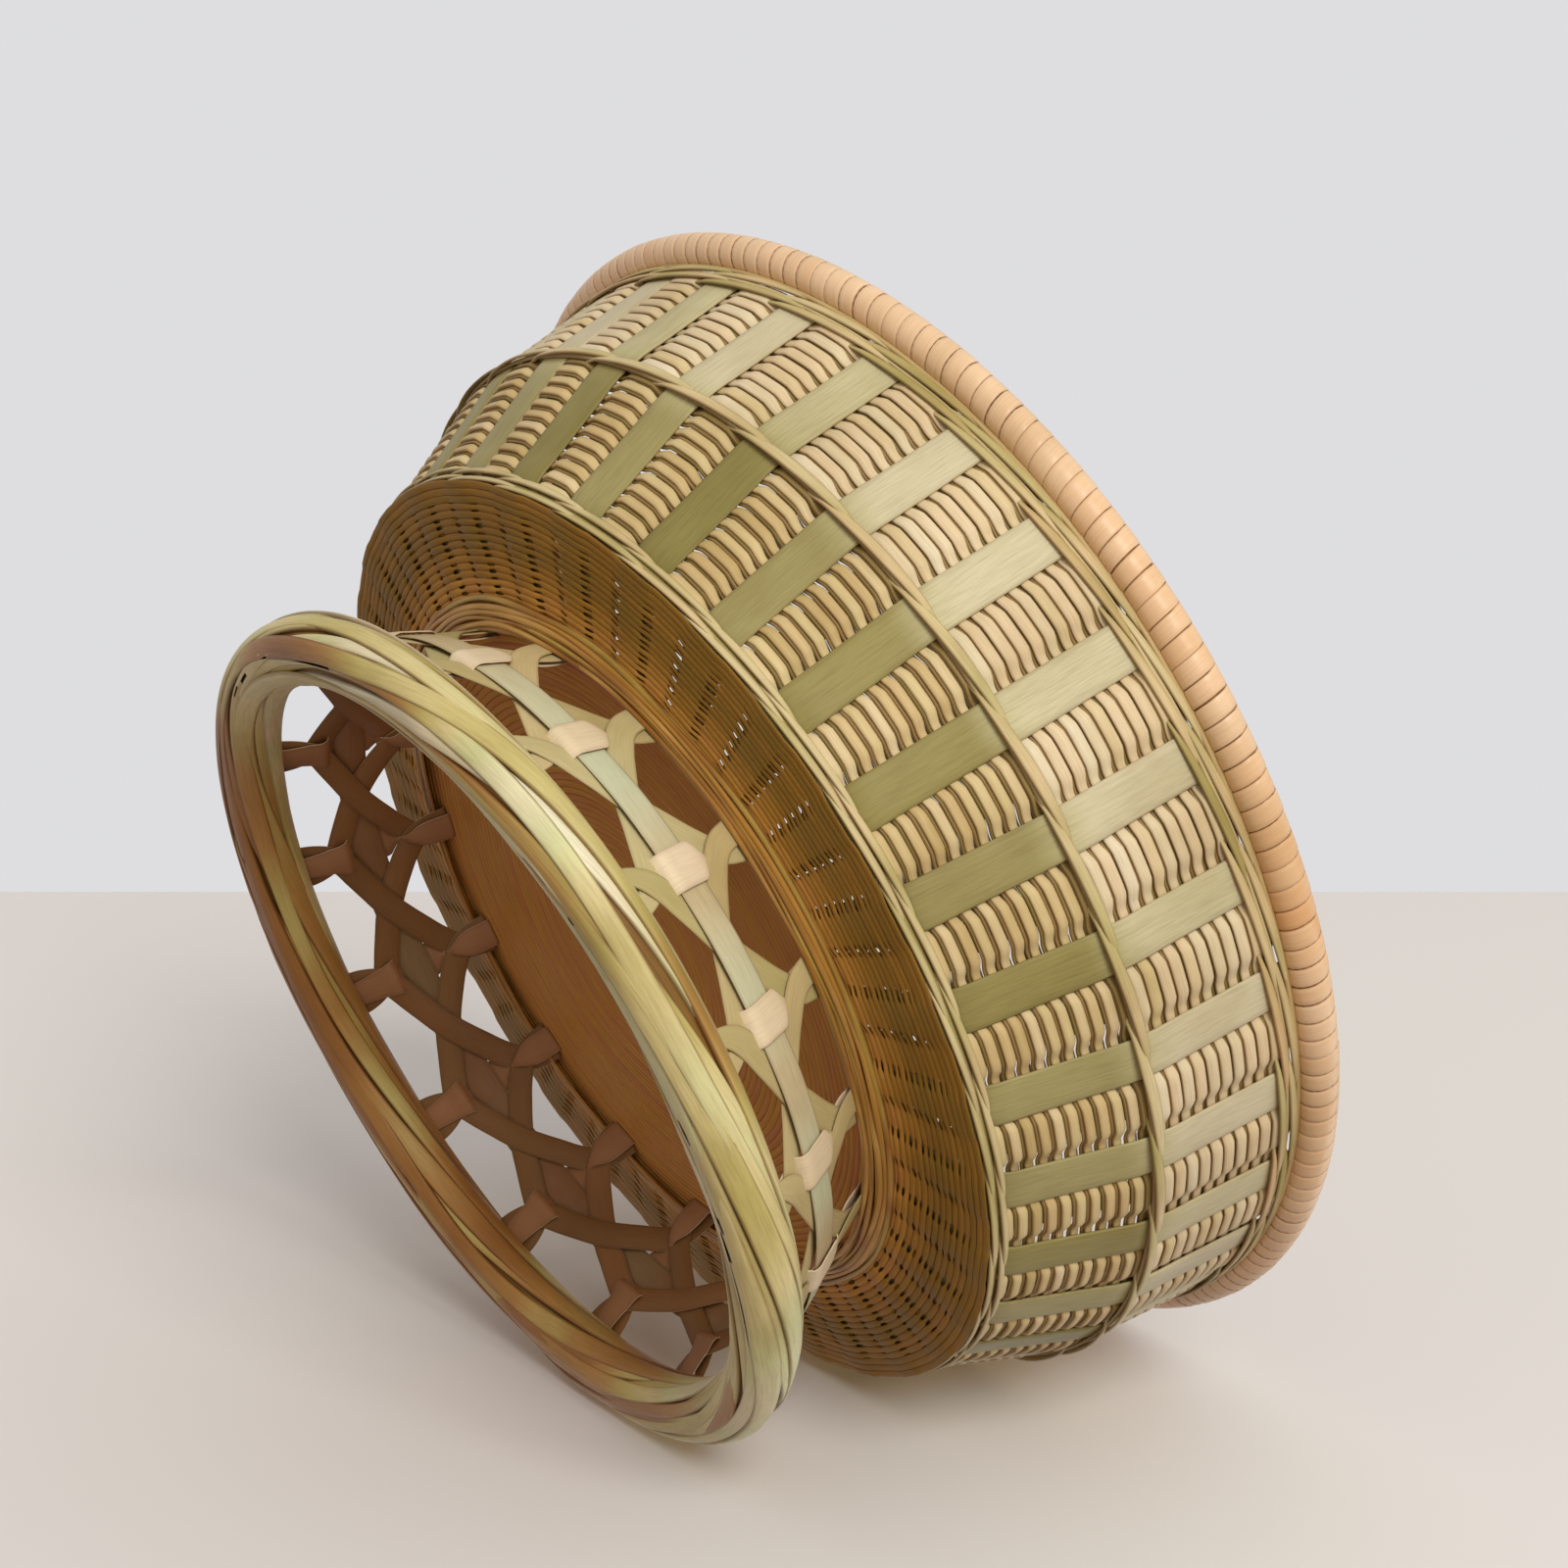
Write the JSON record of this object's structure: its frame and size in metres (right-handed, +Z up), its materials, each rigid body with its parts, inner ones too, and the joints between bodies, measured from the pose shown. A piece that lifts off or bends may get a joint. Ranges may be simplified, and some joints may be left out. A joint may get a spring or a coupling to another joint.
{
  "type": "footed snack basket",
  "caption": "Round woven bamboo snack basket: open bowl with a wrapped rim and twined bands, on a flared open-work foot with a bundled foot ring.",
  "frame": {"origin": "centre of the resting plane, in the middle of the foot ring's underside", "axes": "+Z up along the basket's round axis, through the open bowl; +X towards a stake of the bowl"},
  "size_m": [0.2484, 0.2484, 0.1122],
  "materials": {
    "rim_cane": "satin split bamboo",
    "band_strand": "satin split bamboo",
    "waist_strand": "satin split bamboo",
    "outer_stake": "satin split bamboo",
    "inner_stake": "satin split bamboo",
    "weaver": "satin split bamboo",
    "base_strand": "satin split bamboo",
    "foot_hoop": "satin split bamboo",
    "foot_ring": "satin split bamboo",
    "foot_splint": "satin split bamboo"
  },
  "bodies": {
    "root": {"rim_binding": "rim_cane", "upper_band": "band_strand", "middle_band": "band_strand", "lower_band": "band_strand", "waist_band": "waist_strand", "outer_stakes": "outer_stake", "inner_stakes": "inner_stake", "wall_weave": "weaver", "base_weave": "base_strand", "foot_hoop": "foot_hoop", "foot_ring_strand_1": "foot_ring", "foot_ring_strand_2": "foot_ring", "foot_upright_01": "foot_splint", "foot_brace_right_01": "foot_splint", "foot_brace_left_01": "foot_splint", "foot_upright_02": "foot_splint", "foot_brace_right_02": "foot_splint", "foot_brace_left_02": "foot_splint", "foot_upright_03": "foot_splint", "foot_brace_right_03": "foot_splint", "foot_brace_left_03": "foot_splint", "foot_upright_04": "foot_splint", "foot_brace_right_04": "foot_splint", "foot_brace_left_04": "foot_splint", "foot_upright_05": "foot_splint", "foot_brace_right_05": "foot_splint", "foot_brace_left_05": "foot_splint", "foot_upright_06": "foot_splint", "foot_brace_right_06": "foot_splint", "foot_brace_left_06": "foot_splint", "foot_upright_07": "foot_splint", "foot_brace_right_07": "foot_splint", "foot_brace_left_07": "foot_splint", "foot_upright_08": "foot_splint", "foot_brace_right_08": "foot_splint", "foot_brace_left_08": "foot_splint", "foot_upright_09": "foot_splint", "foot_brace_right_09": "foot_splint", "foot_brace_left_09": "foot_splint", "foot_upright_10": "foot_splint", "foot_brace_right_10": "foot_splint", "foot_brace_left_10": "foot_splint", "foot_upright_11": "foot_splint", "foot_brace_right_11": "foot_splint", "foot_brace_left_11": "foot_splint", "foot_upright_12": "foot_splint", "foot_brace_right_12": "foot_splint", "foot_brace_left_12": "foot_splint", "foot_upright_13": "foot_splint", "foot_brace_right_13": "foot_splint", "foot_brace_left_13": "foot_splint", "foot_upright_14": "foot_splint", "foot_brace_right_14": "foot_splint", "foot_brace_left_14": "foot_splint", "foot_upright_15": "foot_splint", "foot_brace_right_15": "foot_splint", "foot_brace_left_15": "foot_splint", "foot_upright_16": "foot_splint", "foot_brace_right_16": "foot_splint", "foot_brace_left_16": "foot_splint"}
  },
  "joints": []
}
